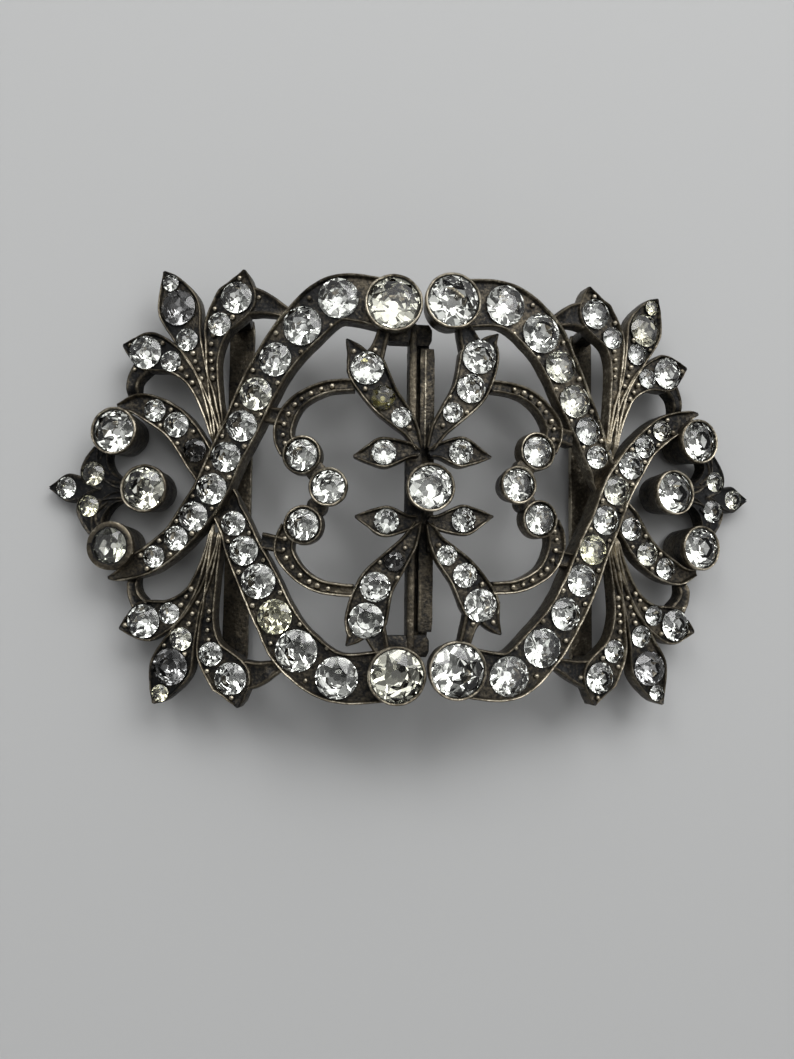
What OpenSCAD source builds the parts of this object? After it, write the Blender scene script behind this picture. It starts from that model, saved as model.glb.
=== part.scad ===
// A two-part paste belt clasp, fastened, lying face up on its back.
// X runs along the clasp, Y across it, Z out of the jewelled face, in millimetres.
// The origin is the middle of the resting plane. The right half is the left half's openwork
// turned half a turn about Z. Heights in the tables are along the normal of the curved face.

/* [Curve of the clasp] */
// Radius of the curved middle, at the level of the small stones
bend_r = 70.6; // [60:1:90]
// Half of the curved middle's width, beyond which each wing is straight
bend_half = 17.8; // [14:0.2:20]
// Height of the middle of the face above the resting plane
lift = 10.9; // [10.6:0.1:11.2]

/* [Openwork] */
// Rim height of the upper ribbon that crosses over the other
over_top = 0.5; // [0.3:0.1:0.8]
// Rim height of the rest of the openwork
low_top = 0.1; // [0:0.1:0.2]
// Back of the upper ribbon
over_back = -2.3; // [-2.6:0.1:-2.2]
// Back of the rest of the openwork
low_back = -2; // [-2.1:0.1:-1.9]
// Width of the raised rims
rim = 0.4; // [0.3:0.05:0.5]
// Depth of the sunk floor below the rims
sink = 0.55; // [0.4:0.05:0.7]
// Gap between the fastened halves, at the leaf roots
seam = 0.4; // [0.3:0.1:0.6]

/* [Stones] */
// Gap between a stone and its seat
seat_gap = 0.08; // [0.06:0.01:0.12]
// Table width as a share of the stone
table_share = 0.54; // [0.5:0.01:0.6]
// Crown height as a share of the stone
crown_share = 0.15; // [0.12:0.01:0.17]
// Pavilion depth as a share of the stone
pavilion_share = 0.34; // [0.3:0.01:0.35]
// Facets round each stone
facets = 12; // [8:1:12]

/* [Collets] */
// Wall between a collet's stone and its outer face, at the top
collet_wall = 0.34; // [0.28:0.02:0.4]
// How much narrower a collet is at its foot
collet_taper = 0.4; // [0.3:0.05:0.5]
// Lip that stands above the stone's widest line
collet_lip = 0.4; // [0.3:0.05:0.5]

/* [Belt bars] */
// Distance of each belt bar's middle line from the middle of the clasp
bar_x = 22.1; // [21.8:0.1:22.6]
// Width of a belt bar
bar_w = 3.2; // [2.6:0.1:3.3]
// Thickness of a belt bar
bar_t = 0.7; // [0.6:0.1:0.8]
// Half of a belt bar's length
bar_half = 21.6; // [21.2:0.1:22]
// Height of a belt bar's middle above the resting plane
bar_z = 1.1; // [1:0.1:2.2]
// Length of the foot at each end of a belt bar
bar_foot = 1.2; // [1:0.1:1.4]

/* [Hook and catch] */
// Half of the length of the hook and of the catch plate
hook_half = 17.2; // [16:0.1:17.3]
// Height of the underside of the hook
hook_z = 5.6; // [5.2:0.1:5.8]
// Thickness of the hook's floor and lip
hook_t = 0.6; // [0.5:0.05:0.6]
// Left face of the hook's folded wall
hook_x = -1.6; // [-1.7:0.05:-1.5]
// Thickness of the hook's folded wall
hook_wall = 0.95; // [0.8:0.05:1]
// Left edge of the catch plate and of its flange
catch_x = -0.25; // [-0.25:0.05:-0.2]
// Width of the catch plate
catch_w = 1.8; // [1.7:0.05:1.9]
// Thickness of the catch plate and of its flange
catch_t = 0.5; // [0.4:0.05:0.55]
// Running clearance between the hook and the catch
catch_gap = 0.4; // [0.3:0.05:0.4]

/* [Hidden] */
$fn = 48;
wing = asin(bend_half / bend_r);
edge_r = 0.2;
span_steps = 4;
leaf_steps = 3;

// Ribbons: x, y, half width, stone (0 where there is none)
OVER = [
  [-3.9, 21.4, 3.0, 0],
  [-10.4, 22.2, 2.85, 4.8],
  [-14.6, 18.9, 2.75, 4.7],
  [-17.7, 14.9, 2.4, 4.0],
  [-19.9, 10.8, 2.3, 3.9],
  [-21.5, 7.0, 2.2, 3.7],
  [-23.3, 3.3, 2.1, 3.6],
  [-24.9, -0.5, 2.1, 3.7],
  [-27.0, -3.8, 2.0, 3.5],
  [-29.0, -6.4, 1.75, 2.9],
  [-31.6, -8.6, 1.7, 2.6],
  [-34.0, -9.9, 1.4, 0],
  [-36.0, -10.8, 0.5, 0]
];
UNDER = [
  [-3.1, -22.0, 3.0, 0],
  [-9.9, -22.4, 2.9, 4.9],
  [-14.6, -19.4, 2.9, 4.9],
  [-17.2, -15.5, 2.5, 4.1],
  [-19.2, -11.4, 2.4, 4.1],
  [-21.0, -7.8, 2.15, 3.5],
  [-22.3, -4.6, 1.9, 2.9],
  [-24.8, 0.0, 1.85, 0],
  [-27.2, 4.2, 1.85, 2.9],
  [-29.5, 7.3, 1.85, 3.0],
  [-32.2, 9.1, 1.75, 2.7],
  [-34.5, 9.9, 1.3, 0],
  [-36.8, 9.6, 0.4, 0]
];
over_stones = [for (row = OVER) if (row[3] > 0) row];
under_stones = [for (row = UNDER) if (row[3] > 0) row];
// Stones 8 to 10 of the over ribbon and 7 to 9 of the under ribbon are the small ones by the tails
over_main = 7;
under_main = 6;

// Leaves of the upper spray, from root to tip: x, y, half width
UPPER_A = [
  [-24.9, 6.6, 0.7], [-26.2, 10.0, 0.75], [-27.8, 12.9, 0.9], [-30.1, 15.2, 1.65],
  [-33.2, 16.4, 2.45], [-35.2, 16.9, 1.3], [-36.3, 17.2, 0.15]
];
UPPER_B = [
  [-24.6, 6.6, 0.7], [-25.6, 10.8, 0.75], [-26.7, 13.8, 0.85], [-28.4, 18.0, 1.75],
  [-29.6, 21.7, 2.6], [-30.7, 24.7, 1.4], [-31.5, 26.2, 0.15]
];
UPPER_C = [
  [-24.3, 6.6, 0.7], [-24.9, 10.5, 0.75], [-25.3, 14.2, 0.8], [-25.2, 17.0, 1.1],
  [-24.6, 19.6, 1.8], [-22.6, 22.6, 2.5], [-21.9, 24.8, 1.2], [-21.7, 26.0, 0.15]
];
// Tail of the outer leaf that runs to the ribbon's end, and web of the inner leaf to the ring
UPPER_TAIL = [[-33.3, 15.2, 1.2], [-34.3, 13.2, 1.15], [-34.5, 11.5, 1.05], [-34.2, 9.6, 0.95]];
UPPER_WEB = [[-22.0, 22.3, 2.2], [-19.6, 21.9, 1.6], [-16.2, 20.6, 0.6]];
// Stones of the upper spray: x, y, stone
UPPER_SPRAY_STONES = [
  [-30.4, 15.1, 2.5], [-33.6, 16.3, 4.0], [-28.5, 17.7, 2.7], [-29.7, 21.7, 4.3],
  [-30.7, 24.8, 2.0], [-24.6, 19.5, 2.8], [-22.6, 22.7, 3.8]
];
// The same for the lower spray
LOWER_A = [
  [-24.7, -6.6, 0.7], [-25.7, -10.0, 0.75], [-27.2, -13.0, 0.9], [-29.5, -15.2, 1.65],
  [-32.6, -16.3, 2.45], [-34.5, -16.9, 1.3], [-35.6, -17.2, 0.15]
];
LOWER_B = [
  [-24.5, -6.6, 0.7], [-25.4, -11.0, 0.75], [-26.6, -14.4, 0.85], [-28.1, -18.2, 1.75],
  [-29.3, -21.6, 2.55], [-30.5, -24.6, 1.4], [-31.2, -25.9, 0.15]
];
LOWER_C = [
  [-24.3, -6.6, 0.7], [-24.7, -10.8, 0.75], [-25.0, -14.6, 0.8], [-25.1, -17.4, 1.1],
  [-24.5, -20.0, 1.8], [-22.2, -22.8, 2.5], [-21.4, -25.0, 1.2], [-21.2, -26.1, 0.15]
];
LOWER_TAIL = [[-32.6, -15.2, 1.1], [-33.5, -13.2, 1.0], [-33.8, -11.5, 0.95], [-33.7, -9.6, 0.95]];
LOWER_WEB = [[-21.6, -22.4, 2.2], [-19.2, -22.2, 1.6], [-16.0, -20.9, 0.6]];
LOWER_SPRAY_STONES = [
  [-29.7, -15.3, 2.5], [-32.8, -16.3, 4.0], [-28.2, -18.3, 2.7], [-29.4, -21.6, 4.3],
  [-30.5, -24.7, 2.0], [-24.6, -20.0, 2.8], [-22.2, -22.8, 3.8]
];
crossing = [-24.6, 7.2];
crossing_r = 3;

// Tip ornament between the outer collets: x, y, half width
FLEUR_STEM = [
  [-34.8, -0.7, 1.3], [-37.0, -0.65, 1.4], [-39.6, -0.5, 2.0], [-42.9, -0.25, 1.8],
  [-44.2, -0.25, 0.85], [-45.0, -0.25, 0.12]
];
FLEUR_UPPER = [[-39.3, 0.0, 1.6], [-39.6, 1.5, 1.85], [-38.8, 3.7, 1.15], [-38.0, 5.3, 0.9]];
FLEUR_LOWER = [[-39.4, -1.0, 1.6], [-40.0, -2.6, 1.8], [-39.6, -4.4, 1.3], [-38.6, -6.0, 1.0]];
FLEUR_STONES = [[-39.6, 1.45, 2.9], [-40.0, -2.5, 2.6], [-42.9, -0.25, 2.6]];

// Leaves at the middle, from root to tip: x, y, half width
BIG_UPPER = [
  [-0.7, 4.4, 0.5], [-1.5, 6.4, 0.95], [-2.8, 8.1, 1.5], [-5.0, 10.5, 1.95],
  [-6.9, 13.7, 2.35], [-7.5, 15.3, 1.8]
];
BIG_LOWER = [
  [-0.7, -4.4, 0.5], [-1.8, -6.8, 1.1], [-3.4, -8.9, 1.6], [-5.6, -11.9, 2.2],
  [-6.6, -15.7, 2.5], [-6.5, -17.4, 2.1]
];
SMALL_UPPER = [
  [-0.6, 3.9, 0.5], [-2.0, 4.2, 1.05], [-4.8, 3.9, 1.85], [-6.7, 3.6, 1.1], [-8.4, 3.4, 0.12]
];
SMALL_LOWER = [
  [-0.6, -3.9, 0.5], [-2.0, -4.3, 1.05], [-4.5, -4.2, 1.85], [-6.4, -3.9, 1.1], [-8.1, -3.7, 0.12]
];
PRONGS = [
  [[-7.4, 15.0, 1.6], [-8.7, 16.4, 0.8], [-9.4, 17.2, 0.12]],
  [[-6.2, 15.2, 1.2], [-5.4, 16.7, 0.75], [-4.9, 18.8, 0.7]],
  [[-7.2, -16.8, 1.4], [-8.9, -18.6, 0.12]],
  [[-5.6, -17.0, 1.4], [-4.6, -19.6, 0.9]]
];
UPPER_LEAF_STONES = [[-6.9, 13.9, 3.9], [-5.0, 10.4, 2.9], [-2.8, 8.1, 2.4], [-4.8, 3.9, 2.9]];
LOWER_LEAF_STONES = [[-6.6, -15.8, 4.1], [-5.6, -11.9, 3.5], [-3.4, -8.9, 2.4], [-4.4, -4.2, 2.9]];

// Scrolls from the leaf to the end stone: x, y, half width
UPPER_SCROLL = [
  [-8.4, 11.9, 0.75], [-11.6, 11.6, 0.8], [-14.3, 10.4, 0.9], [-15.8, 8.9, 1.05],
  [-16.6, 7.0, 1.15], [-16.6, 5.4, 1.15], [-15.9, 4.0, 1.2]
];
LOWER_SCROLL = [
  [-8.2, -12.4, 0.75], [-11.7, -12.0, 0.8], [-14.1, -10.8, 0.9], [-15.6, -9.2, 1.05],
  [-16.3, -7.8, 1.15], [-16.2, -6.4, 1.15], [-15.6, -5.2, 1.2]
];
SCROLL_STONES = [[-14.4, 3.5, 3.65], [-14.1, -4.75, 3.65]];
scroll_end_r = 2.35;
scroll_joint_r = 1.2;
// Solder bridges from the scrolls to the ring
BRIDGES = [[[-16.6, 8.1, 1.0], [-19.2, 8.5, 1.0]], [[-16.2, -7.2, 1.0], [-19.0, -6.6, 1.0]]];

// Groups of outlines, and of small stones that share one name
SPRAY_LEAVES = [UPPER_A, UPPER_B, UPPER_C, LOWER_A, LOWER_B, LOWER_C];
SPRAYS = concat(SPRAY_LEAVES, [UPPER_TAIL, LOWER_TAIL, UPPER_WEB, LOWER_WEB]);
FLEUR = [FLEUR_STEM, FLEUR_UPPER, FLEUR_LOWER];
MIDDLE_LEAVES = [BIG_UPPER, BIG_LOWER, SMALL_UPPER, SMALL_LOWER];
SCROLLS = [UPPER_SCROLL, LOWER_SCROLL];
FIELDS = [
  ["upper_spray", UPPER_SPRAY_STONES], ["lower_spray", LOWER_SPRAY_STONES], ["fleur", FLEUR_STONES],
  ["upper_leaf", UPPER_LEAF_STONES], ["lower_leaf", LOWER_LEAF_STONES], ["scroll_end", SCROLL_STONES]
];

// Collets: x, y, stone, height of the stone's widest line, depth of the foot
COLLETS = [
  [-3.9, 21.4, 6.1, 1.0, -2.6],
  [-3.05, -22.0, 6.0, 1.0, -2.6],
  [-36.5, 6.4, 5.0, 1.2, -3.4],
  [-36.4, -7.4, 5.0, 1.2, -3.4],
  [-32.6, -0.55, 5.0, 1.2, -3.0],
  [-11.1, -0.4, 3.8, 0.9, -2.0]
];
COLLET_NAMES = ["top", "bottom", "upper_outer", "lower_outer", "middle_outer", "scroll"];
CENTRE_COLLET = [0.4, -0.4, 4.9, 2.2, -1.3];
// Spine under the leaf roots that carries the centre collet
spine_w = 1.9;
spine_t = 1;
spine_half = 4.6;
// Tab at each end of the hook, carried by the half's own big collet
tab_left = -4.4;
tab_post_right = -1.6;
tab_right = 1.2;
tab_in = 17.6;
tab_out = 20.2;
tab_z = 7.1;
tab_t = 0.8;
// Posts that carry the catch plate on the leaf roots
post_in = 4.4;
post_out = 7.6;
post_x = 0.6;

// Stones' widest lines below the rims, and seats that stay open above them
stone_sink_over = 0.35;
stone_sink_low = 0.25;
seat_open = 3;
over_line = over_top - stone_sink_over;
low_line = low_top - stone_sink_low;
foot_bite = 0.8;
slab = 60;
SIDES = ["left", "right"];

// Tilt and height of the curved face above a point x
function tilt(x) = abs(x) < bend_half ? asin(x / bend_r) : sign(x) * wing;
function face_z(x) = lift - bend_r + bend_r * cos(tilt(x)) - max(0, abs(x) - bend_half) * tan(wing);

// Smooth curve through rows of numbers
function curve(p, q, r, s, t) =
  0.5 * (2 * q + (r - p) * t + (2 * p - 5 * q + 4 * r - s) * t * t + (3 * q - p - 3 * r + s) * t * t * t);
function smooth(rows, steps) = let (last = len(rows) - 1) concat(
  [for (i = [0:last - 1]) for (k = [0:steps - 1])
    curve(rows[max(0, i - 1)], rows[i], rows[i + 1], rows[min(last, i + 2)], k / steps)],
  [rows[last]]
);
function along(path, i) = let (
  a = path[max(0, i - 1)], b = path[min(len(path) - 1, i + 1)], d = [b[0] - a[0], b[1] - a[1]]
) d / norm(d);
function side_point(path, i, side) = let (d = along(path, i))
  [path[i][0] - side * d[1] * path[i][2], path[i][1] + side * d[0] * path[i][2]];
function rows_xyw(rows) = [for (row = rows) [row[0], row[1], row[2]]];

// A strip of changing width along a table's rows
module band(rows, steps) {
  path = smooth(rows_xyw(rows), steps);
  last = len(path) - 1;
  polygon(concat(
    [for (i = [0:last]) side_point(path, i, 1)],
    [for (i = [last:-1:0]) side_point(path, i, -1)]
  ));
}

// Everything below the curved face at height h
module below(h) {
  r = bend_r + h;
  hub = [0, lift - bend_r];
  turn = hub + r * [sin(wing), cos(wing)];
  end = turn + slab * [cos(wing), -sin(wing)];
  rotate([90, 0, 0])
    linear_extrude(height = 2 * slab, center = true) {
      translate(hub) circle(r, $fn = 96);
      polygon([
        hub, turn, end, [end[0], -2 * slab],
        [-end[0], -2 * slab], [-end[0], end[1]], [-turn[0], turn[1]]
      ]);
    }
}

// A flat outline raised into a plate that follows the curved face
module curved_plate(back, top) {
  difference() {
    intersection() {
      linear_extrude(height = slab) children();
      below(top);
    }
    below(back);
  }
}

// Places its children on the curved face
module on_face(x, y, h) {
  translate([x, y, face_z(x)])
    rotate([0, tilt(x), 0])
      translate([0, 0, h])
        children();
}

// Outline of a half without its upper ribbon, collets and fittings
module low_outline() {
  band(UNDER, span_steps);
  for (rows = concat(SPRAYS, FLEUR, PRONGS, SCROLLS)) band(rows, leaf_steps);
  for (rows = BRIDGES) band(rows, 1);
  for (end = SCROLL_STONES) {
    translate([end[0], end[1]]) circle(scroll_end_r, $fn = 32);
    translate([(end[0] + COLLETS[5][0]) / 2, (end[1] + COLLETS[5][1]) / 2])
      circle(scroll_joint_r, $fn = 20);
  }
  intersection() {
    for (rows = MIDDLE_LEAVES) band(rows, leaf_steps);
    leaf_side();
  }
}

// The left half's side of the seam
module leaf_side() {
  translate([-slab - seam / 2, -slab / 2]) square([slab, slab]);
}

// Sunk floors between the rims of one strip
module channel(rows, steps) {
  offset(delta = -rim) band(rows, steps);
}

module low_channels() {
  difference() {
    channel(UNDER, span_steps);
    offset(delta = rim) band(OVER, span_steps);
  }
  difference() {
    for (rows = SPRAY_LEAVES) channel(rows, leaf_steps);
    for (m = [0, 1]) mirror([0, m]) translate(crossing) circle(crossing_r);
  }
  for (rows = SCROLLS) channel(rows, leaf_steps);
  for (rows = MIDDLE_LEAVES)
    intersection() {
      channel(rows, leaf_steps);
      translate([-rim - seam / 2, 0]) leaf_side();
    }
}

// Seat for a stone whose widest line is at height h
module seat(x, y, d, h) {
  depth = pavilion_share * d + seat_gap;
  on_face(x, y, h - depth)
    cylinder(h = depth + seat_open, d = d + 2 * seat_gap);
}

// Cut stone: flat table, crown, thin girdle and pointed pavilion
module stone(x, y, d, h) {
  n = facets;
  r = d / 2;
  girdle = 0.03 * d;
  rings = [[table_share * r, crown_share * d], [r, girdle / 2], [r, -girdle / 2]];
  corners = [
    for (ring = rings) for (i = [0:n - 1])
      [ring[0] * cos(360 * i / n), ring[0] * sin(360 * i / n), ring[1]]
  ];
  table = [[for (i = [n - 1:-1:0]) i]];
  sides = [
    for (k = [0, n]) for (i = [0:n - 1]) let (j = (i + 1) % n)
      [k + i, k + j, k + n + j, k + n + i]
  ];
  point = [for (i = [0:n - 1]) [2 * n + i, 2 * n + (i + 1) % n, 3 * n]];
  on_face(x, y, h)
    polyhedron(
      points = concat(corners, [[0, 0, -pavilion_share * d]]),
      faces = concat(table, sides, point)
    );
}

// Tapered collet
module collet_body(row) {
  r = row[2] / 2 + collet_wall;
  on_face(row[0], row[1], row[4])
    cylinder(h = row[3] + collet_lip - row[4], r1 = r - collet_taper, r2 = r);
}

// Seats of all the stones that lie in one half's openwork
module openwork_seats() {
  for (row = over_stones) seat(row[0], row[1], row[3], over_line);
  for (row = under_stones) seat(row[0], row[1], row[3], low_line);
  for (field = FIELDS) for (row = field[1]) seat(row[0], row[1], row[2], low_line);
  for (row = COLLETS) seat(row[0], row[1], row[2], row[3]);
}

// Cuts a flat outline into a plate, down from its rims to its sunk floor
module sunk_floor(top) {
  intersection() {
    linear_extrude(height = slab) children();
    difference() {
      below(top + sink);
      below(top - sink);
    }
  }
}

// Pierced plate of one half with its ribbons, leaves, scrolls and collets
module openwork() {
  difference() {
    union() {
      difference() {
        curved_plate(low_back, low_top)
          offset(r = -edge_r, $fn = 16) offset(delta = edge_r) low_outline();
        sunk_floor(low_top) offset(delta = -0.01) low_channels();
      }
      difference() {
        curved_plate(over_back, over_top) offset(delta = 0.01) band(OVER, span_steps);
        sunk_floor(over_top) channel(OVER, span_steps);
      }
      for (row = COLLETS) collet_body(row);
    }
    openwork_seats();
  }
}

// Belt bar, tilted like the wing above it, with a foot at each end
module belt_bar() {
  foot_top = face_z(bar_x) + low_back + foot_bite;
  translate([-bar_x, 0, bar_z])
    rotate([0, -wing, 0])
      cube([bar_w, 2 * bar_half, bar_t], center = true);
  for (s = [-1, 1])
    translate([-bar_x, s * (bar_half - bar_foot / 2), (bar_z + foot_top) / 2])
      cube([bar_w - bar_t, bar_foot, foot_top - bar_z], center = true);
}

// One half's metal, drawn as the left half, filed flat where it rests
module half_metal() {
  intersection() {
    union() {
      openwork();
      belt_bar();
      children();
    }
    translate([-slab, -slab, 0]) cube([2 * slab, 2 * slab, slab]);
  }
}

// A box from its left end, its half length about the X axis, its underside, width and height
module strip(x, half, z, w, h) {
  translate([x, -half, z]) cube([w, 2 * half, h]);
}

// Level of the catch plate's underside, which passes over the hook's lip
catch_z = hook_z + hook_t + 2 * catch_gap + hook_t;

// Folded hook behind the left half: wall, floor and lip, with a tab at each end
module hook() {
  lip_x = catch_x + catch_t + catch_gap;
  lip_top = catch_z - catch_gap;
  collet_foot = face_z(COLLETS[0][0]) + COLLETS[0][4];
  strip(hook_x, tab_out, hook_z, hook_wall, lift + low_back - hook_z - hook_t);
  strip(hook_x, hook_half, hook_z, lip_x + hook_t - hook_x, hook_t);
  strip(lip_x, hook_half, hook_z, hook_t, lip_top - hook_z);
  for (m = [0, 1])
    mirror([0, m, 0]) {
      translate([tab_left, tab_in, tab_z])
        cube([tab_right - tab_left, tab_out - tab_in, tab_t]);
      translate([tab_left, tab_in, tab_z])
        cube([tab_post_right - tab_left, tab_out - tab_in, collet_foot + 2 * hook_t - tab_z]);
    }
}

// Catch plate behind the right half, drawn where it lies: plate, flange and posts
module catch() {
  flange_z = hook_z + hook_t + catch_gap;
  strip(catch_x, hook_half, catch_z, catch_w, catch_t);
  strip(catch_x, hook_half, flange_z, catch_t, catch_z - flange_z + catch_t);
  for (m = [0, 1])
    mirror([0, m, 0])
      translate([post_x, post_in, catch_z])
        cube([catch_x + catch_w - post_x, post_out - post_in, lift + low_back + hook_t - catch_z]);
}

// Spine on the left half's leaf roots
module spine() {
  strip(-seam / 2 - spine_w, spine_half, lift + low_back - spine_t / 2, spine_w, 1.5 * spine_t);
}

module left_half() {
  color("dimgray")
    difference() {
      half_metal() {
        hook();
        spine();
        collet_body(CENTRE_COLLET);
      }
      seat(CENTRE_COLLET[0], CENTRE_COLLET[1], CENTRE_COLLET[2], CENTRE_COLLET[3]);
    }
}

module right_half() {
  color("dimgray")
    rotate([0, 0, 180])
      half_metal()
        rotate([0, 0, 180]) catch();
}

// Puts the left half's stones where they belong on either side
module on_side(side) {
  rotate([0, 0, side == "left" ? 0 : 180]) children();
}

module collet_stone(row) {
  color("white") stone(row[0], row[1], row[2], row[3]);
}

module ribbon_stone(row, h) {
  color("white") stone(row[0], row[1], row[3], h);
}

module field_stones(rows) {
  color("white")
    for (row = rows) stone(row[0], row[1], row[2], low_line);
}

module tail_stones() {
  for (i = [over_main:len(over_stones) - 1]) ribbon_stone(over_stones[i], over_line);
  for (i = [under_main:len(under_stones) - 1]) ribbon_stone(under_stones[i], low_line);
}

left_half();
right_half();
collet_stone(CENTRE_COLLET);  // centre_stone
for (side = SIDES) {
  for (i = [0:len(COLLETS) - 1])
    on_side(side) collet_stone(COLLETS[i]);
  for (i = [1:over_main])
    on_side(side) ribbon_stone(over_stones[i - 1], over_line);
  for (i = [1:under_main])
    on_side(side) ribbon_stone(under_stones[i - 1], low_line);
  on_side(side) tail_stones();
  for (field = FIELDS)
    on_side(side) field_stones(field[1]);
}
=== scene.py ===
import math
import random
from functools import partial

import bmesh
import bpy
import numpy as np
from mathutils import Matrix, Vector, noise


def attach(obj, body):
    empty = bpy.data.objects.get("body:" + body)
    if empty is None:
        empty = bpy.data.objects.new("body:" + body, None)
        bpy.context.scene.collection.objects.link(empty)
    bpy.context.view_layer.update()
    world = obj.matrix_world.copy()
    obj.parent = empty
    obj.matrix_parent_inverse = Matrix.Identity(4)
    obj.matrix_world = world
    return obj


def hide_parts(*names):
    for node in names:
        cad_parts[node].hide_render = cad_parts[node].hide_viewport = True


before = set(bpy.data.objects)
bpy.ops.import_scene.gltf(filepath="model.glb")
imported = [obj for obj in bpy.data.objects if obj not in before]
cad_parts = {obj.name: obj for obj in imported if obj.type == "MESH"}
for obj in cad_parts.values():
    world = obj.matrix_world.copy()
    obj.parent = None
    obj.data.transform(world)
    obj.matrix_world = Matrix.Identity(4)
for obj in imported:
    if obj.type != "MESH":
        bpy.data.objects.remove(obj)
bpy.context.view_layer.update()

scene = bpy.context.scene

# Camera, floor and light. The clasp was photographed by hand from about 110 mm above it, a
# little to the left and below its middle. Here it lies on a plain pale floor in soft light,
# brighter from the window side than from the room side.
MM = 0.001
photo_height = 1059
focal_length = 857
camera_spot = (-14.30, -11.94, 109.91)
camera_turns = (-3.80, 6.46, -0.70)  # degrees about X, Y and Z


def placed(name, data):
    """An object of the scene with this camera, lamp or mesh."""
    thing = bpy.data.objects.new(name, data)
    scene.collection.objects.link(thing)
    return thing


def new_finish(name):
    """A material and its shader."""
    material = bpy.data.materials.new(name)
    material.use_nodes = True
    return material, material.node_tree.nodes["Principled BSDF"]


camera = placed("camera", bpy.data.cameras.new("camera"))
camera.data.sensor_fit = "VERTICAL"
camera.data.angle = 2 * math.atan(photo_height / 2 / focal_length)
camera.data.clip_start = 0.005
turned = Matrix.Identity(3)
for degrees, axis in zip(camera_turns, "XYZ"):
    turned = turned @ Matrix.Rotation(math.radians(degrees), 3, axis)
camera.matrix_world = Matrix.Translation(Vector(camera_spot) * MM) @ turned.transposed().to_4x4()
scene.camera = camera

floor_half = 2500 * MM
floor_mesh = bpy.data.meshes.new("floor")
floor_mesh.from_pydata(
    [(x * floor_half, y * floor_half, 0) for x, y in ((-1, -1), (1, -1), (1, 1), (-1, 1))],
    [],
    [(0, 1, 2, 3)],
)
floor = placed("floor", floor_mesh)
floor_paint, floor_shader = new_finish("pale floor")
floor_shader.inputs["Base Color"].default_value = (0.46, 0.465, 0.465, 1)
floor_shader.inputs["Roughness"].default_value = 0.9
floor_mesh.materials.append(floor_paint)

# The room as the stones see it: plain low down, bright towards the window, dark straight above,
# where someone leans over the clasp, and with many dark things high on the walls
room = bpy.data.worlds.new("room")
room.use_nodes = True
scene.world = room
room_nodes, room_links = room.node_tree.nodes, room.node_tree.links
way_out = room_nodes.new("ShaderNodeTexCoord")


def room_glow(direction, stops):
    """A grey that changes with the angle from one direction of the room."""
    along = room_nodes.new("ShaderNodeVectorMath")
    along.operation = "DOT_PRODUCT"
    room_links.new(way_out.outputs["Generated"], along.inputs[0])
    along.inputs[1].default_value = Vector(direction).normalized()
    ramp = room_nodes.new("ShaderNodeValToRGB")
    while len(ramp.color_ramp.elements) < len(stops):
        ramp.color_ramp.elements.new(0.5)
    for element, (cosine, grey) in zip(ramp.color_ramp.elements, stops):
        element.position = cosine
        element.color = (grey, grey, grey, 1)
    room_links.new(along.outputs["Value"], ramp.inputs["Fac"])
    return ramp


def mixed(nodes, links, factor, a, b, blend="MIX"):
    """A colour mix of sockets or plain values."""
    step = nodes.new("ShaderNodeMix")
    step.data_type = "RGBA"
    step.blend_type = blend
    colours = [socket for socket in step.inputs if socket.type == "RGBA"]
    for socket, source in zip([step.inputs[0]] + colours, (factor, a, b)):
        if isinstance(source, bpy.types.NodeSocket):
            links.new(source, socket)
        else:
            socket.default_value = source
    return next(socket for socket in step.outputs if socket.type == "RGBA")


window_glow = room_glow((0.35, 0.55, 0.75), [(0.0, 0.30), (0.5, 0.44), (0.92, 1.0)])
person_shade = room_glow((-0.15, -0.35, 0.93), [(0.88, 1.0), (0.945, 0.10)])
things = room_nodes.new("ShaderNodeTexVoronoi")
things.inputs["Scale"].default_value = 4.2
room_links.new(way_out.outputs["Generated"], things.inputs["Vector"])
thing_shade = room_nodes.new("ShaderNodeValToRGB")
thing_shade.color_ramp.elements[0].position = 0.38
thing_shade.color_ramp.elements[0].color = (0.13, 0.13, 0.13, 1)
thing_shade.color_ramp.elements[1].position = 0.58
room_links.new(things.outputs["Color"], thing_shade.inputs["Fac"])
heights = room_nodes.new("ShaderNodeSeparateXYZ")
room_links.new(way_out.outputs["Generated"], heights.inputs["Vector"])
high_up = room_nodes.new("ShaderNodeMapRange")
high_up.interpolation_type = "SMOOTHSTEP"
high_up.inputs["From Min"].default_value = 0.28
high_up.inputs["From Max"].default_value = 0.42
room_links.new(heights.outputs["Z"], high_up.inputs["Value"])
plain_wall = (0.75, 0.75, 0.75, 1)
things_high_up = mixed(
    room_nodes, room_links, high_up.outputs["Result"], plain_wall, thing_shade.outputs["Color"]
)
room_colour = window_glow.outputs["Color"]
for shade in (person_shade.outputs["Color"], things_high_up):
    room_colour = mixed(room_nodes, room_links, 1.0, room_colour, shade, "MULTIPLY")
room_links.new(room_colour, room_nodes["Background"].inputs["Color"])
room_nodes["Background"].inputs["Strength"].default_value = 1.7


def softbox(name, spot, size, power):
    lamp = bpy.data.lights.new(name, "AREA")
    lamp.shape = "RECTANGLE"
    lamp.size = size[0] * MM
    lamp.size_y = size[1] * MM
    lamp.energy = power
    holder = placed(name, lamp)
    holder.location = Vector(spot) * MM
    holder.rotation_euler = (-holder.location).to_track_quat("-Z", "Y").to_euler()


softbox("window", (190, 360, 420), (420, 300), 1.9)
softbox("second window", (-230, 380, 400), (200, 260), 0.8)
scene.view_settings.view_transform = "Standard"

# Upper ribbon. Each half of the clasp has a cast silver ribbon that sweeps from its big top
# collet over the other ribbon to a thin tail. A rim stands along both edges of its sunk floor,
# and the whole plate was bent to the curve of a waist.
bend_r = 70.6
bend_half = 17.8
lift = 10.9
wing = math.asin(bend_half / bend_r)
over_top = 0.5
over_back = -2.3
rim_w = 0.36
sink = 0.55
unevenness = 0.045
noise.seed_set(1)  # unseeded, the unevenness would differ from run to run
station = 0.26
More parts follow.
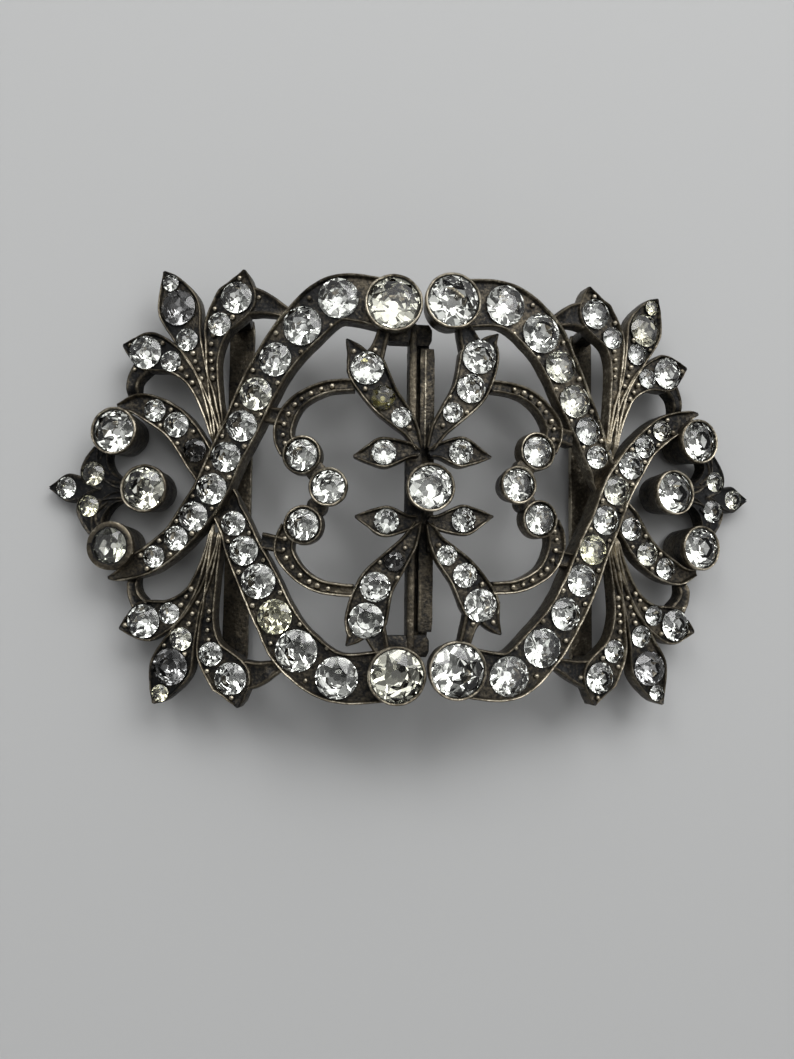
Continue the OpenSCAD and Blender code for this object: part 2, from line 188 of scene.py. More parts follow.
# Each row of a ribbon, leaf or scroll is x, y and half the width at a point of its middle line
OVER = [
    (-3.9, 21.4, 3.0), (-10.4, 22.2, 2.85), (-14.6, 18.9, 2.75), (-17.7, 14.9, 2.4),
    (-19.9, 10.8, 2.3), (-21.5, 7.0, 2.2), (-23.3, 3.3, 2.1), (-24.9, -0.5, 2.1),
    (-27.0, -3.8, 2.0), (-29.0, -6.4, 1.75), (-31.6, -8.6, 1.7), (-34.0, -9.9, 1.4),
    (-35.8, -10.9, 0.7), (-37.0, -11.2, 0.2),
]


def tilt_at(x):
    return math.asin(x / bend_r) if abs(x) < bend_half else math.copysign(wing, x)


def face_z(x):
    straight = max(0, abs(x) - bend_half) * math.tan(wing)
    return lift - bend_r + bend_r * math.cos(tilt_at(x)) - straight


def bent(x, y, h):
    """A point of the flat plan, h above the level of the small stones, on the curved clasp."""
    return Vector((x + h * math.sin(tilt_at(x)), y, face_z(x) + h * math.cos(tilt_at(x))))


def smooth_path(rows):
    """A smooth curve through rows of numbers, as stations one step apart in plan."""
    rows = np.array(rows, float)
    ends = np.vstack([rows[:1], rows, rows[-1:]])
    t = np.linspace(0, 1, 12, endpoint=False)[:, None]
    fine = []
    for p, q, r, s in zip(ends, ends[1:], ends[2:], ends[3:]):
        bow = (2 * p - 5 * q + 4 * r - s) * t**2 + (3 * q - p - 3 * r + s) * t**3
        fine.append(0.5 * (2 * q + (r - p) * t + bow))
    fine = np.vstack(fine + [rows[-1:]])
    run = np.concatenate([[0], np.cumsum(np.hypot(*np.diff(fine[:, :2], axis=0).T))])
    even = np.linspace(0, run[-1], max(3, round(run[-1] / station) + 1))
    return np.stack([np.interp(even, run, column) for column in fine.T], axis=1)


def channel_side(w, top, back):
    """Half of a ribbon's section: offset from its middle, height and wear (1 is rubbed bright)."""
    rim = min(rim_w, 0.5 * w)
    deep = sink * min(1, max(0, (w - 0.3) / 0.5))
    inner = w - rim
    foot = min(0.25, 0.4 * w)
    return [
        (0, top - deep, 0.15),
        (0.5 * inner, top - deep, 0.15),
        (inner - 0.1, top - 0.97 * deep, 0.08),
        (inner + 0.05 * rim, top - 0.75 * deep, 0.12),
        (inner + 0.20 * rim, top - 0.16, 0.45),
        (inner + 0.38 * rim, top - 0.04, 0.76),
        (inner + 0.60 * rim, top, 0.65),
        (inner + 0.84 * rim, top - 0.06, 0.5),
        (w + 0.01, top - 0.24, 0.42),
        (w + 0.03, top - 0.5, 0.34),
        (w + 0.02, 0.6 * back, 0.33),
        (w - 0.02, back + 0.25, 0.24),
        (w - foot, back, 0.15),
    ]


def handmade(points, seed):
    """The slight unevenness of cast and filed metal."""
    shift = Vector((seed * 17.3, seed * 7.1, seed * 3.7))
    return [p + unevenness * noise.noise_vector(p * 0.8 + shift) for p in points]


def swept(rings, wears, fade=(1, 1)):
    """A closed shell through like rings of points, with a wear that fades from start to end."""
    n = len(rings[0])
    points = [p for ring in rings for p in ring]
    faces, wear = [], []
    for i in range(len(rings) - 1):
        strength = fade[0] + (fade[1] - fade[0]) * i / (len(rings) - 1)
        for k in range(n):
            j = (k + 1) % n
            faces.append((i * n + k, (i + 1) * n + k, (i + 1) * n + j, i * n + j))
            wear.append(strength * (wears[k] + wears[j]) / 2)
    last = (len(rings) - 1) * n
    faces += [tuple(range(n)), tuple(range(last + n - 1, last - 1, -1))]
    wear += [wears[-1]] * 2
    return points, faces, wear


def strip(rows, top, back, side=channel_side, dip=None, fade=(1, 1), seed=0):
    """A strip of changing width along a path, closed at its back and ends."""
    path = smooth_path(rows)
    way = np.gradient(path[:, :2], axis=0)
    way /= np.linalg.norm(way, axis=1)[:, None]
    bow = np.gradient(np.unwrap(np.arctan2(way[:, 1], way[:, 0]))) / station
    rings = []
    for (x, y, w), (dx, dy), turn in zip(path, way, bow):
        low = dip(x, y) if dip else 0
        half = side(w, top - low, back)
        ring = half + [(-u, h, wear) for u, h, wear in half[:0:-1]]
        tight = 0.8 / max(0.01, abs(turn)) / w
        ring = [(u * min(1, tight) if u * turn > 0 else u, h, wear) for u, h, wear in ring]
        rings.append([bent(x - u * dy, y + u * dx, h) for u, h, wear in ring])
    points, faces, wear = swept(rings, [wear for u, h, wear in ring], fade)
    return handmade(points, seed), faces, wear


shells = [strip(OVER, over_top, over_back, seed=1)]

# Lower ribbon. It is cast like the upper one, starts at the bottom collet and passes under the
# upper ribbon, where its top is filed away to let the other lie over it.
low_top = 0.1
low_back = -2.0
crossing = (-24.8, -0.2)
filed_deep = 0.7
filed_r = 3.6
filed_slope = 1.4
UNDER = [
    (-3.1, -22.0, 3.0), (-9.9, -22.4, 2.9), (-14.6, -19.4, 2.9), (-17.2, -15.5, 2.5),
    (-19.2, -11.4, 2.4), (-21.0, -7.8, 2.15), (-22.3, -4.6, 1.9), (-24.8, 0.0, 1.85),
    (-27.2, 4.2, 1.85), (-29.5, 7.3, 1.85), (-32.2, 9.1, 1.75), (-34.5, 9.9, 1.3),
    (-36.8, 9.6, 0.4),
]


def filed_under(x, y):
    """How far the top of the lower ribbon is filed away near the crossing."""
    away = math.hypot(x - crossing[0], y - crossing[1])
    return filed_deep * min(1, max(0, (filed_r - away) / filed_slope))


shells.append(strip(UNDER, low_top, low_back, dip=filed_under, seed=2))

# Leaf sprays. Above and below the crossing three cast leaves fan out on thin stems, soldered
# together at their roots. The outer leaf has a tail down to the ribbon's end, and a flat web
# ties the inner leaf to the ring.
UPPER_LEAVES = [
    [(-24.6, 4.6, 0.55), (-24.9, 6.6, 0.7), (-26.2, 10.0, 0.75), (-27.8, 12.9, 0.9),
     (-30.1, 15.2, 1.65), (-33.2, 16.4, 2.45), (-35.2, 16.9, 1.3), (-36.3, 17.2, 0.15)],
    [(-24.5, 4.6, 0.55), (-24.6, 6.6, 0.7), (-25.6, 10.8, 0.75), (-26.7, 13.8, 0.85),
     (-28.4, 18.0, 1.75), (-29.6, 21.7, 2.6), (-30.7, 24.7, 1.4), (-31.5, 26.2, 0.15)],
    [(-24.4, 4.6, 0.55), (-24.3, 6.6, 0.7), (-24.9, 10.5, 0.75), (-25.3, 14.2, 0.8), (-25.2, 17.0, 1.1),
     (-24.6, 19.6, 1.8), (-22.6, 22.6, 2.5), (-21.9, 24.8, 1.2), (-21.7, 26.0, 0.15)],
]
LOWER_LEAVES = [
    [(-24.5, -4.6, 0.55), (-24.7, -6.6, 0.7), (-25.7, -10.0, 0.75), (-27.2, -13.0, 0.9),
     (-29.5, -15.2, 1.65), (-32.6, -16.3, 2.45), (-34.5, -16.9, 1.3), (-35.6, -17.2, 0.15)],
    [(-24.4, -4.6, 0.55), (-24.5, -6.6, 0.7), (-25.4, -11.0, 0.75), (-26.6, -14.4, 0.85),
     (-28.1, -18.2, 1.75), (-29.3, -21.6, 2.55), (-30.5, -24.6, 1.4), (-31.2, -25.9, 0.15)],
    [(-24.3, -4.6, 0.55), (-24.3, -6.6, 0.7), (-24.7, -10.8, 0.75), (-25.0, -14.6, 0.8),
     (-25.1, -17.4, 1.1), (-24.5, -20.0, 1.8), (-22.2, -22.8, 2.5), (-21.4, -25.0, 1.2),
     (-21.2, -26.1, 0.15)],
]
TAILS = [
    [(-33.9, 14.6, 1.15), (-34.9, 13.1, 0.85), (-35.1, 11.6, 0.75), (-34.8, 9.7, 0.8)],
    [(-33.2, -14.6, 1.05), (-34.1, -13.1, 0.75), (-34.3, -11.5, 0.65), (-34.0, -9.8, 0.7)],
]
WEBS = [
    [(-20.8, 22.2, 1.8), (-19.2, 21.8, 1.4), (-16.2, 20.6, 0.6)],
    [(-20.4, -22.4, 1.8), (-18.8, -22.1, 1.4), (-16.2, -21.0, 0.6)],
]


def grooved_side(w, top, back):
    """Half of a dark strip with a shallow groove between two soft edges."""
    foot = min(0.25, 0.4 * w)
    deep = min(0.3, 0.35 * w)
    edge = min(0.5, 0.6 * w)
    return [
        (0, top - deep, 0),
        (0.7 * (w - edge), top - deep, 0),
        (w - edge, top - 0.8 * deep, 0.05),
        (w - 0.75 * edge, top - 0.08, 0.25),
        (w - 0.5 * edge, top, 0.42),
        (w - 0.2 * edge, top - 0.08, 0.3),
        (w, top - 0.28, 0.15),
        (w + 0.01, 0.6 * back, 0.1),
        (w - 0.02, back + 0.25, 0.1),
        (w - foot, back, 0.05),
    ]


root_deep = 0.7
root_y = 6.1
root_slope = 1.1


def tucked_in(x, y):
    """How far the roots of the leaves go down to pass under the ribbons."""
    return root_deep * min(1, max(0, (root_y - abs(y)) / root_slope))


tail_end_y = 11.9
tail_slope = 0.9
web_end_x = -18.0
web_slope = 1.0
end_deep = 0.6


def under_rim(x, y):
    """How far the ends of tails and webs go down to meet the ribbon below its rim."""
    tail, web = (tail_end_y - abs(y)) / tail_slope, (x - web_end_x) / web_slope
    return end_deep * min(1, max(0, tail, web))


for number, rows in enumerate(TAILS + WEBS):
    shells.append(
        strip(rows, low_top - 0.05, low_back, side=grooved_side, dip=under_rim, seed=10 + number)
    )
for number, rows in enumerate(UPPER_LEAVES + LOWER_LEAVES):
    shells.append(strip(rows, low_top, low_back, dip=tucked_in, fade=(1.5, 0.45), seed=20 + number))

# Tip ornament. A small cast stem with a bud runs out between the outer collets. Two arms with
# a stone each curve from it to the collets. It has turned almost black.
FLEUR = [
    [(-35.2, 0.1, 0.6), (-36.6, 0.4, 0.75), (-37.9, 1.5, 0.8), (-38.5, 3.3, 0.8), (-38.2, 5.3, 0.9)],
    [(-35.2, -1.3, 0.6), (-36.8, -1.5, 0.75), (-38.1, -2.5, 0.8), (-38.9, -4.2, 0.8),
     (-38.5, -6.0, 0.9)],
    [(-34.8, -0.65, 1.0), (-37.0, -0.6, 1.2), (-39.0, -0.5, 1.6), (-41.0, -0.35, 1.5)],
    [(-38.0, 0.4, 1.2), (-39.6, 1.45, 1.55), (-39.7, 2.9, 1.1), (-38.9, 4.4, 0.8)],
    [(-38.2, -1.2, 1.2), (-40.0, -2.5, 1.5), (-40.0, -4.0, 1.1), (-39.2, -5.6, 0.8)],
    [(-40.6, -0.4, 1.3), (-42.6, -0.25, 1.75), (-43.9, -0.25, 1.0), (-45.0, -0.25, 0.12)],
]


def soft_side(w, top, back):
    """Half of a dark section with a low rolled edge round a nearly flat top."""
    foot = min(0.25, 0.4 * w)
    return [
        (0, top - 0.2, -0.1),
        (0.6 * w, top - 0.2, -0.1),
        (w - 0.42 * min(1, w), top - 0.16, 0),
        (w - 0.3 * min(1, w), top - 0.03, 0.1),
        (w - 0.16 * min(1, w), top, 0.2),
        (w, top - 0.2, 0.1),
        (w + 0.02, 0.6 * back, 0),
        (w - 0.02, back + 0.25, 0.1),
        (w - foot, back, 0.05),
    ]


for number, rows in enumerate(FLEUR):
    shells.append(strip(rows, low_top - 0.05, low_back, side=soft_side, seed=30 + number))

# Middle leaves. A big and a small leaf grow from the seam above and below the centre collet.
# The big ones end in two prongs, of which the outer touches the big collet.
BIG_LEAVES = [
    [(-0.7, 4.4, 0.5), (-1.5, 6.4, 0.95), (-2.8, 8.1, 1.5), (-5.0, 10.5, 1.95),
     (-6.9, 13.7, 2.35), (-7.5, 15.3, 1.8)],
    [(-0.7, -4.4, 0.5), (-1.8, -6.8, 1.1), (-3.4, -8.9, 1.6), (-5.6, -11.9, 2.2),
     (-6.6, -15.7, 2.5), (-6.5, -17.4, 2.1)],
]
SMALL_LEAVES = [
    [(-0.6, 3.9, 0.5), (-2.0, 4.2, 1.05), (-4.8, 3.9, 1.85), (-6.7, 3.6, 1.1), (-8.4, 3.4, 0.12)],
    [(-0.6, -3.9, 0.5), (-2.0, -4.3, 1.05), (-4.5, -4.2, 1.85), (-6.4, -3.9, 1.1), (-8.1, -3.7, 0.12)],
]
PRONGS = [
    [(-7.6, 14.2, 1.9), (-8.3, 15.8, 1.15), (-9.0, 16.8, 0.55), (-9.4, 17.3, 0.12)],
    [(-6.4, 14.6, 1.4), (-5.6, 16.4, 0.9), (-4.9, 18.8, 0.75)],
    [(-7.2, -16.4, 1.6), (-8.1, -17.8, 0.9), (-8.9, -18.7, 0.12)],
    [(-5.8, -16.6, 1.5), (-4.6, -19.6, 0.9)],
]
for number, rows in enumerate(PRONGS):
    shells.append(strip(rows, low_top - 0.02, low_back, side=grooved_side, seed=40 + number))
for number, rows in enumerate(BIG_LEAVES + SMALL_LEAVES):
    shells.append(strip(rows, low_top, low_back, fade=(0.8, 1.05), seed=50 + number))

# Scrolls. Two slender beaded scrolls curl from the middle leaves to a stone each, touch the
# scroll collet between them and are soldered to the ring by a short bridge.
SCROLLS = [
    [(-8.4, 11.9, 0.75), (-11.6, 11.6, 0.8), (-14.3, 10.4, 0.9), (-15.8, 8.9, 1.05),
     (-16.6, 7.0, 1.15), (-16.6, 5.4, 1.15), (-15.9, 4.0, 1.2)],
    [(-8.2, -12.4, 0.75), (-11.7, -12.0, 0.8), (-14.1, -10.8, 0.9), (-15.6, -9.2, 1.05),
     (-16.3, -7.8, 1.15), (-16.2, -6.4, 1.15), (-15.6, -5.2, 1.2)],
]
BRIDGES = [[(-16.6, 8.1, 1.0), (-19.2, 8.5, 1.0)], [(-16.2, -7.2, 1.0), (-19.0, -6.6, 1.0)]]
SCROLL_ENDS = [(-14.4, 3.5), (-14.1, -4.75)]
scroll_spot = (-11.1, -0.4)
scroll_end_r = 2.35
scroll_joint_r = 1.2


def stand(x, y):
    """The frame of a part that stands square on the curved face."""
    return Matrix.Translation(bent(x, y, 0)) @ Matrix.Rotation(tilt_at(x), 4, "Y")


def turned_part(frame_at, profile, sides=40, seed=0):
    """A round part from rows of radius, height and wear, from its top middle to its foot."""
    rings = []
    for step in range(sides):
        a = math.tau * step / sides
        rings.append([(r * math.cos(a), r * math.sin(a), h) for r, h, wear in profile])
    points = [Vector((0, 0, profile[0][1]))]
    points += [Vector(p) for k in range(len(profile)) for p in [ring[k] for ring in rings]]
    points.append(Vector((0, 0, profile[-1][1])))
    faces = [(0, 1 + i, 1 + (i + 1) % sides) for i in range(sides)]
    wear = [profile[0][2]] * sides
    for k in range(len(profile) - 1):
        for i in range(sides):
            j = (i + 1) % sides
            a, b = 1 + k * sides, 1 + (k + 1) * sides
            faces.append((a + i, b + i, b + j, a + j))
            wear.append((profile[k][2] + profile[k + 1][2]) / 2)
    a = 1 + (len(profile) - 1) * sides
    faces += [(len(points) - 1, a + (i + 1) % sides, a + i) for i in range(sides)]
    wear += [profile[-1][2]] * sides
    points = [frame_at @ p for p in points]
    return (handmade(points, seed) if seed else points), faces, wear


def boss_profile(r, top, back):
    """A stone's round setting at the end of a scroll, with the ribbons' rim."""
    inner = r - rim_w
    return [
        (0.6 * inner, top - sink, 0),
        (inner, top - sink, 0),
        (inner + 0.08, top - 0.12, 0.5),
        (inner + 0.17, top, 0.85),
        (r - 0.08, top - 0.04, 0.6),
        (r, top - 0.22, 0.4),
        (r, back + 0.25, 0.25),
        (r - 0.2, back, 0.15),
    ]


for number, rows in enumerate(BRIDGES):
    shells.append(strip(rows, low_top - 0.15, low_back, side=grooved_side, seed=60 + number))
for number, rows in enumerate(SCROLLS):
    shells.append(strip(rows, low_top, low_back, fade=(1.35, 0.8), seed=64 + number))
for x, y in SCROLL_ENDS:
    shells.append(turned_part(stand(x, y), boss_profile(scroll_end_r, low_top, low_back), seed=70))
    joint = stand((x + scroll_spot[0]) / 2, (y + scroll_spot[1]) / 2)
    joint_profile = [(0.8, -0.1, 0.15), (scroll_joint_r, -0.35, 0.3), (scroll_joint_r, low_back, 0.15)]
    shells.append(turned_part(joint, joint_profile, sides=24, seed=71))

# Collets. Seven larger stones stand proud in tapered cups of sheet silver, whose edge is
# rubbed over the stone into a thin bright ring. Six of them belong to each half.
# Each row is x, y, the width of the stone, and the heights of its widest line and of the foot
COLLETS = {
    "top": (-3.9, 21.4, 6.1, 1.0, -2.6),
    "bottom": (-3.05, -22.0, 6.0, 1.0, -2.6),
    "upper_outer": (-36.5, 6.4, 5.0, 1.2, -3.4),
    "lower_outer": (-36.4, -7.4, 5.0, 1.2, -3.4),
    "middle_outer": (-32.6, -0.55, 5.0, 1.2, -3.0),
    "scroll": (-11.1, -0.4, 3.8, 0.9, -2.0),
}
CENTRE_COLLET = (0.4, -0.4, 4.9, 2.2, -1.3)
collet_wall = 0.34
collet_taper = 0.4
collet_lip = 0.4


def collet(x, y, stone, girdle, foot, seed):
    inner = stone / 2
    r = inner + collet_wall
    top = girdle + collet_lip
    profile = [
        (inner + 0.03, girdle - 0.1, 0),
        (inner + 0.06, girdle + 0.2, 0.05),
        (inner + 0.10, top - 0.12, 0.35),
        (inner + 0.15, top - 0.03, 0.75),
        (inner + 0.25, top, 0.75),
        (inner + 0.34, top - 0.06, 0.68),
        (inner + 0.40, top - 0.2, 0.55),
        (inner + 0.39, top - 0.5, 0.45),
        (inner + 0.37, top - 0.9, 0.45),
        (inner + 0.29, top - 1.05, 0.15),
        (r - 0.5 * collet_taper, (top + foot) / 2 - 0.2, 0.18),
        (r - collet_taper, foot + 0.2, 0.15),
        (r - collet_taper - 0.15, foot, 0.1),
    ]
    return turned_part(stand(x, y), profile, sides=56, seed=seed)


def wide_lip(x, y, stone, girdle, cover, seed):
    """A closed ring of silver pressed far over the edge of a stone, with a painted shadow ring at its
    inner edge.
    """
    top = girdle + 0.5
    # The wear of -0.3 at the inner edge paints a dark shadow ring between the lip and the stone
    section = [
        (stone / 2 - cover, top - 0.13, -0.3), (stone / 2 - cover + 0.05, top - 0.02, -0.3),
        (stone / 2 - 0.5 * cover, top, 0), (stone / 2 + 0.15, top + 0.02, 0.5),
        (stone / 2 + 0.38, top - 0.12, 0.6), (stone / 2 + 0.36, girdle + 0.1, 0.4),
        (stone / 2 + 0.2, girdle + 0.1, 0.1), (stone / 2 + 0.1, top - 0.19, 0.1),
    ]
    sides = 56
    n = len(section)
    points, faces, wear = [], [], []
    for i in range(sides):
        a = math.tau * i / sides
        points += [stand(x, y) @ Vector((r * math.cos(a), r * math.sin(a), h)) for r, h, rub in section]
        for k in range(n):
            i2, k2 = (i + 1) % sides, (k + 1) % n
            faces.append((i * n + k, i * n + k2, i2 * n + k2, i2 * n + k))
            wear.append((section[k][2] + section[k2][2]) / 2)
    return handmade(points, seed), faces, wear


for number, row in enumerate(COLLETS.values()):
    shells.append(collet(*row, seed=80 + number))

# Grains. Small balls of silver stand along the stems and scrolls, and between the ribbons'
# stones two grains were raised from the metal to hold them.
grain_r = 0.33
grain_rise = 0.2
claw_rise = 0.22
claw_inset = 0.3
# Each run is a path, where along it the grains start and end, and their number
GRAIN_RUNS = [(SCROLLS[0], 0.20, 0.93, 9), (SCROLLS[1], 0.22, 0.90, 8)]
GRAINS = [
    (-29.1, 14.2), (-28.4, 13.2), (-27.7, 12.4), (-31.5, 17.4), (-34.9, 14.2), (-35.5, 17.2),
    (-27.7, 16.0), (-27.4, 15.0), (-27.0, 14.0), (-26.6, 12.9),
    (-25.3, 18.2), (-25.5, 17.1), (-25.5, 15.9), (-25.45, 15.0), (-25.3, 14.0), (-25.2, 12.9),
    (-22.3, 25.1), (-19.9, 22.6), (-25.2, 21.4), (-23.0, 20.3),
    (-28.3, -14.3), (-27.7, -13.3), (-27.1, -12.4), (-35.0, -16.8),
    (-26.3, -14.0), (-26.9, -15.3), (-27.3, -16.5), (-27.7, -20.1), (-30.2, -19.1),
    (-24.9, -15.0), (-25.0, -16.0), (-25.05, -17.2), (-24.9, -18.3), (-25.0, -22.0), (-22.0, -25.0),
    (-8.5, 15.9), (-6.0, 16.1), (-7.1, 11.4), (-1.8, 6.9), (-5.1, -9.0), (-3.0, -10.8), (-2.2, -7.3),
]


def grain(x, y, h, seed):
    r = grain_r * random.Random(seed).uniform(0.85, 1.15)
    profile = [
        (0.35 * r, h + 0.94 * r, 1.05), (0.7 * r, h + 0.71 * r, 1), (0.95 * r, h + 0.3 * r, 0.7),
        (r, h - 0.1 * r, 0.3), (0.75 * r, h - 0.66 * r, 0.1), (0.4 * r, h - 0.9 * r, 0.1),
    ]
    return turned_part(stand(x, y), profile, sides=12)


def between_stones(rows, level):
    """Two grains in each gap between neighbouring stones of a ribbon."""
    spots = []
    for (x0, y0, w0), (x1, y1, w1) in zip(rows[1:], rows[2:]):
        gap = math.hypot(x1 - x0, y1 - y0)
        dx, dy = (x1 - x0) / gap, (y1 - y0) / gap
        u = (w0 + w1) / 2 - rim_w - claw_inset
        spots += [((x0 + x1) / 2 - s * u * dy, (y0 + y1) / 2 + s * u * dx, level) for s in (-1, 1)]
    return spots


low_floor = low_top - sink
over_floor = over_top - sink
grain_spots = [(x, y, low_floor + grain_rise) for x, y in GRAINS]
for rows, start, end, count in GRAIN_RUNS:
    path = smooth_path(rows)
    for step in range(count):
        x, y, w = path[round((start + (end - start) * step / (count - 1)) * (len(path) - 1))]
        grain_spots.append((x, y, low_floor + grain_rise))
grain_spots += between_stones(OVER[:-2], over_floor + claw_rise)
grain_spots += between_stones(UNDER[:7], low_floor + claw_rise)
grain_spots += between_stones(UNDER[7:-2], low_floor + claw_rise)


def joined(parts):
    """Closed shells that don't meet, as one."""
    points, faces, wear = [], [], []
    for part_points, part_faces, part_wear in parts:
        faces += [tuple(i + len(points) for i in face) for face in part_faces]
        points += part_points
        wear += part_wear
    return points, faces, wear


shells.append(joined(grain(*spot, seed=number) for number, spot in enumerate(grain_spots)))

# Belt bars. Behind each wing a flat bar for the sash stands on a foot at each end.
bar_x = 22.1
bar_w = 3.2
bar_t = 0.7
bar_half = 21.6
bar_z = 1.1
bar_foot = 1.2
foot_root = 0.8


def rod(x0, x1, z0, z1, y0, y1, wears=(0.05, 0.08, 0.05, 0.05), bevel=0.12, tilt=0, seed=0):
    """A filed bar along Y. The wears are for its left, top, right and under side."""
    b = min(bevel, 0.4 * (x1 - x0), 0.4 * (z1 - z0))
    left, over, right, under = wears
    edge = [max(left, over), max(over, right), max(right, under), max(under, left)]
    section = [
        (x0, z0 + b, left), (x0, z1 - b, edge[0]), (x0 + 0.3 * b, z1 - 0.3 * b, edge[0]),
        (x0 + b, z1, over), (x1 - b, z1, edge[1]), (x1 - 0.3 * b, z1 - 0.3 * b, edge[1]),
        (x1, z1 - b, right), (x1, z0 + b, edge[2]), (x1 - 0.3 * b, z0 + 0.3 * b, edge[2]),
        (x1 - b, z0, under), (x0 + b, z0, edge[3]), (x0 + 0.3 * b, z0 + 0.3 * b, edge[3]),
    ]
    section.reverse()
    middle = Vector(((x0 + x1) / 2, 0, (z0 + z1) / 2))
    lean = Matrix.Rotation(tilt, 3, "Y")
    count = max(4, round((y1 - y0) / 1.2))
    rings = []
    for step in range(count + 1):
        t = step / count
        y = y0 + (y1 - y0) * t
        shrink = 1 - 0.12 * (step in (0, count))
        ring = [lean @ (Vector((x, 0, z)) - middle) * shrink + middle for x, z, wear in section]
        rings.append([p + Vector((0, y, 0)) for p in ring])
    points, faces, wear = swept(rings, [wear for x, z, wear in section])
    return handmade(points, seed), faces, wear


foot_top = face_z(bar_x) + low_back + foot_root
shells.append(
    rod(-bar_x - bar_w / 2, -bar_x + bar_w / 2, bar_z - bar_t / 2, bar_z + bar_t / 2,
        -bar_half, bar_half, wears=(0, 0, 0.7, 0), tilt=-wing, seed=90)
)
foot_half = (bar_w - bar_t) / 2
for y0 in (-bar_half, bar_half - bar_foot):
    shells.append(
        rod(-bar_x - foot_half, -bar_x + foot_half, bar_z, foot_top, y0, y0 + bar_foot, seed=91)
    )

# Hook. Behind the left half a strip of silver was folded into a trough that takes the other
# half's flange. It is carried at each end by a tab under the big collets, and a spine under the
# leaf roots carries the centre collet.
seam = 0.4
hook_x = -1.6
hook_wall = 0.95
hook_z = 5.6
hook_t = 0.6
hook_half = 17.2
# The trough's floor runs a mm past the lip at each end, under the gap by the tabs: a dark strip of
# metal standing in for the shade there
trough_half_with_shade_filler = 18.2
tab_left = -4.4
tab_right = 1.2
tab_z = 7.1
tab_t = 0.8
tab_in = 17.6
tab_out = 20.2
spine_w = 1.9
spine_half = 4.6
spine_low = 0.5
spine_high = 1
catch_z = 7.6
catch_gap = 0.4
catch_x = -0.25
catch_t = 0.5
catch_w = 1.8
lip_x = catch_x + catch_t + catch_gap
collet_foot = face_z(COLLETS["top"][0]) + COLLETS["top"][4]
hook_shells = [
    rod(hook_x, hook_x + hook_wall, hook_z, lift + low_back - hook_t, -tab_out, tab_out,
        wears=(0.05, 0.3, 0.3, 0.05), bevel=0.3, seed=100),
    # the trough's floor, whose ends past the lip are a dark filler standing in for shade
    rod(hook_x, lip_x + hook_t, hook_z, hook_z + hook_t, -trough_half_with_shade_filler, trough_half_with_shade_filler, seed=101),
    rod(lip_x, lip_x + hook_t, hook_z, catch_z - catch_gap, -hook_half, hook_half, seed=102),
    rod(-seam / 2 - spine_w, -seam / 2, lift + low_back - spine_low, lift + low_back + spine_high,
        -spine_half, spine_half, seed=103),
    collet(*CENTRE_COLLET, seed=104),
    wide_lip(*COLLETS["lower_outer"][:4], cover=0.42, seed=107),
]
for y0, y1 in ((tab_in, tab_out), (-tab_out, -tab_in)):
    hook_shells.append(rod(tab_left, tab_right, tab_z, tab_z + tab_t, y0, y1, seed=105))
    hook_shells.append(rod(tab_left, hook_x, tab_z, collet_foot + 2 * hook_t, y0, y1, seed=106))

# Catch plate. Behind the right half a flat plate passes over the hook's lip, with a flange that
# drops into the trough. Two posts carry it on the leaf roots.
ridge_left = 0.55
ridge_right = 0.78
ridge_root = 0.3
ridge_rise = 0.12
ridge_start = 4.8
ridge_end = hook_half - 0.2
post_x = 0.6
post_in = 4.4
post_out = 7.6
catch_shells = [
    rod(catch_x, catch_x + catch_w, catch_z, catch_z + catch_t, -hook_half, hook_half,
        wears=(0, 0, 0.3, 0), seed=110),
    rod(catch_x + ridge_left, catch_x + ridge_right, catch_z + ridge_root,
        catch_z + catch_t + ridge_rise, ridge_start, ridge_end,
        wears=(0.2, 0.6, 0.2, 0.1), bevel=0.08, seed=113),
    rod(catch_x, catch_x + catch_t, hook_z + hook_t + catch_gap, catch_z + catch_t,
        -hook_half, hook_half, wears=(0.3, 0.3, 0.1, 0.1), seed=111),
]
for y0, y1 in ((post_in, post_out), (-post_out, -post_in)):
    catch_shells.append(
        rod(post_x, catch_x + catch_w, catch_z, lift + low_back + hook_t, y0, y1, seed=112)
    )

# Silver of the two halves. The castings, collets and fittings of each half were soldered into
# one piece, then the stones' seats were cut, and more than a century has blackened its hollows.
seat_gap = 0.08
pavilion_share = 0.34


def stones_of(node):
    """Middle of the widest line, axis and width of each stone of a CAD node, in mm."""
    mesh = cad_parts[node].data
    spots = {}
    corner = []
    for v in mesh.vertices:
        spot = tuple(round(c / MM, 3) for c in v.co)
        corner.append(spots.setdefault(spot, len(spots)))
    leader = list(range(len(spots)))

    def lead(i):
        while leader[i] != i:
            i = leader[i]
        return i

    for face in mesh.polygons:
        first = lead(corner[face.vertices[0]])
        for v in face.vertices[1:]:
            leader[lead(corner[v])] = first
    groups = {}
    for spot, i in spots.items():
        groups.setdefault(lead(i), []).append(Vector(spot))
    stones = []
    for points in groups.values():
        width = max(p.y for p in points) - min(p.y for p in points)
        tip = min(points, key=lambda p: p.z)
        axis = (sum(points, Vector()) / len(points) - tip).normalized()
        stones.append((tip + pavilion_share * width * axis, axis, width))
    return sorted(stones, key=lambda stone: tuple(stone[0]))


stone_nodes = [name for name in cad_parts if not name.endswith("_half")]
left_stones = [
    stone for name in stone_nodes if name.startswith("left") for stone in stones_of(name)
]


def square_to(middle, axis):
    return Matrix.Translation(middle) @ Vector((0, 0, 1)).rotation_difference(axis).to_matrix().to_4x4()


def seat(middle, axis, width):
    r = width / 2 + seat_gap
    depth = pavilion_share * width + seat_gap
    profile = [(r, 0.28, 0.1), (r, 0, 0.05), (r, -0.12, 0), (0.3 * r, -depth, 0)]
    return turned_part(square_to(middle, axis), profile, sides=36)


def block(low, high):
    """A plain box that only cuts."""
    across, along, upright = zip(low, high)
    corners = [Vector((x, y, z)) for z in upright for y in along for x in across]
    sides = [(0, 2, 3, 1), (4, 5, 7, 6), (0, 1, 5, 4), (1, 3, 7, 5), (3, 2, 6, 7), (2, 0, 4, 6)]
    return corners, sides, [0.35] * 6


